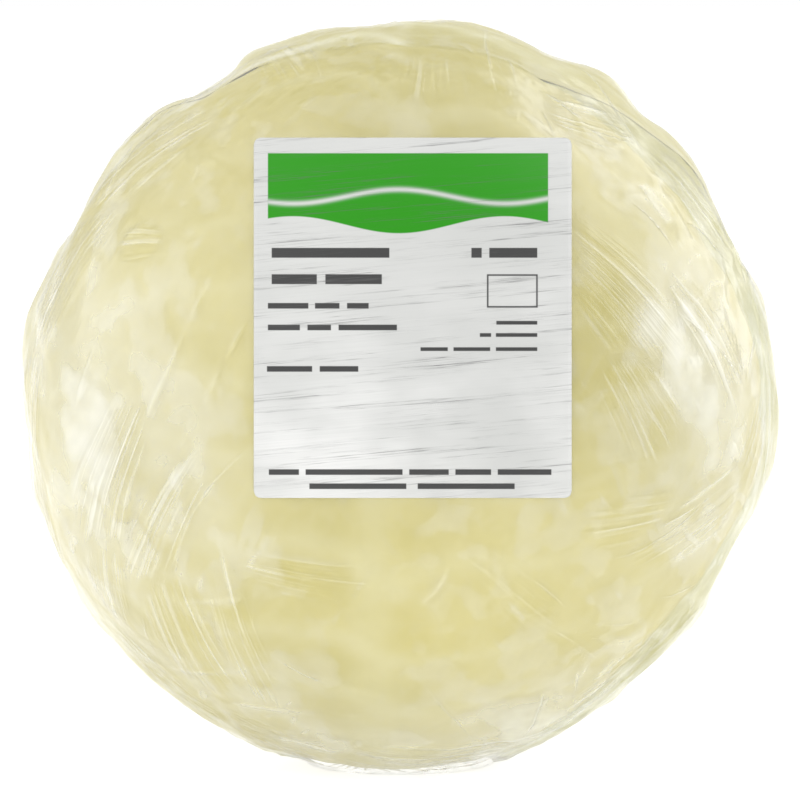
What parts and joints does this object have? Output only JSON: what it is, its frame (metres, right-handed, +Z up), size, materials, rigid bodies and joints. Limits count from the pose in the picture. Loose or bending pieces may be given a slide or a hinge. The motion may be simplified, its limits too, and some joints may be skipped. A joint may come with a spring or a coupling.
{
  "type": "white cabbage",
  "caption": "Round white cabbage head with its wrapper leaves, drawn up in clear stretch film with a plain paper label on the front.",
  "frame": {"origin": "middle of the small flat spot that the cabbage rests on, at the bottom centre of its box", "axes": "+Z up from the stem end through the crown, -Y out through the label on the front, +X to the label's right seen from the front"},
  "size_m": [0.1715, 0.1703, 0.1679],
  "materials": {
    "leaf": "waxy pale yellow-green cabbage leaf",
    "stem": "cut stem, pale and fibrous",
    "film": "clear wrinkled stretch film",
    "label": "semi-matt printed paper"
  },
  "bodies": {
    "root": {"head": "leaf", "stem_stub": "stem", "front_leaf": "leaf", "back_leaf": "leaf", "left_leaf": "leaf", "right_leaf": "leaf", "rear_left_leaf": "leaf", "rear_right_leaf": "leaf", "film_wrap": "film", "label": "label"}
  },
  "joints": []
}
